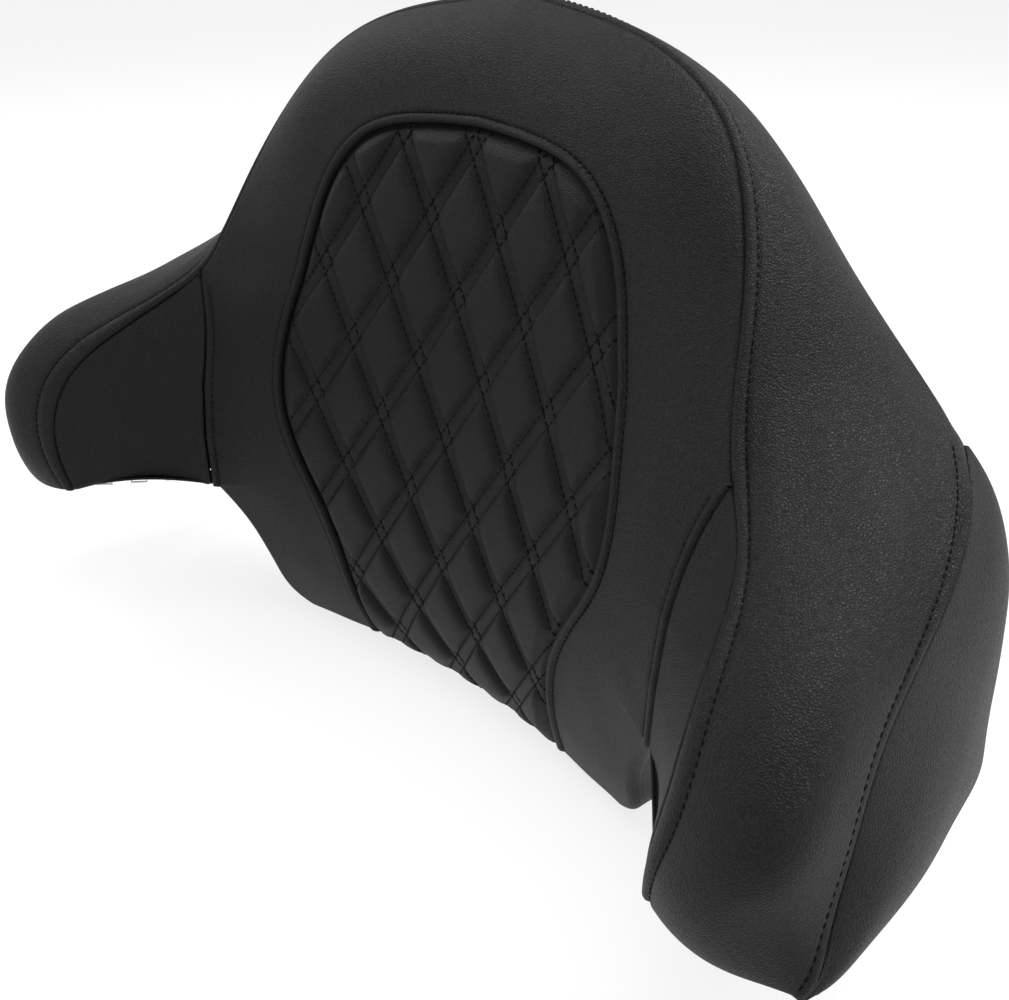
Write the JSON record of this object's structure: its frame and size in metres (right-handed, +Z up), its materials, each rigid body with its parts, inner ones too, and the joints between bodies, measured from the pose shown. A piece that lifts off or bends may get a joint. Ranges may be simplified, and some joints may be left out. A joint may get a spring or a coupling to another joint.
{
  "type": "motorcycle trunk backrest pad",
  "caption": "Wraparound padded passenger backrest with an arched quilted centre pad and forward-reaching side wings, bolted to a touring motorcycle's trunk.",
  "frame": {"origin": "centre of the four-insert mounting pattern, in the plane of the bosses' rear faces", "axes": "+Z up, +Y to the rear towards the trunk the pad bolts to, +X across; the pad is symmetric about X = 0"},
  "size_m": [0.6456, 0.22, 0.4066],
  "materials": {
    "cover_vinyl": "soft satin pebble-grain vinyl, black",
    "cover_vinyl_quilted": "soft satin pebble-grain vinyl, black, diamond quilted",
    "foam": "open-cell moulded foam",
    "moulded_plastic": "moulded black plastic, fine texture",
    "zinc_steel": "zinc-plated",
    "brass": "machined brass",
    "rubber": "moulded rubber",
    "wire": "bright drawn wire"
  },
  "bodies": {
    "root": {"quilted_panel": "cover_vinyl_quilted", "front_panel": "cover_vinyl", "side_band": "cover_vinyl", "lower_wrap": "cover_vinyl", "face_edge_ridge": "cover_vinyl", "quilt_border_ridge": "cover_vinyl", "quilt_foam": "foam", "foam_core": "foam", "base_board": "moulded_plastic", "rear_hem": "cover_vinyl", "staples": "wire", "tray_screws": "zinc_steel", "rivets": "zinc_steel", "threaded_inserts": "brass", "rubber_bumpers": "rubber", "hog_rings": "wire", "wing_inner_panel_right": "cover_vinyl", "wing_seam_ridge_right": "cover_vinyl", "outer_side_panel_right": "cover_vinyl", "outer_seam_ridge_right": "cover_vinyl", "under_hem_right": "cover_vinyl", "wing_foam_right": "foam", "wing_tray_right": "moulded_plastic", "reinforcement_strap_right": "zinc_steel", "listing_wire_right": "wire", "wing_inner_panel_left": "cover_vinyl", "wing_seam_ridge_left": "cover_vinyl", "outer_side_panel_left": "cover_vinyl", "outer_seam_ridge_left": "cover_vinyl", "under_hem_left": "cover_vinyl", "wing_foam_left": "foam", "wing_tray_left": "moulded_plastic", "reinforcement_strap_left": "zinc_steel", "listing_wire_left": "wire"}
  },
  "joints": []
}
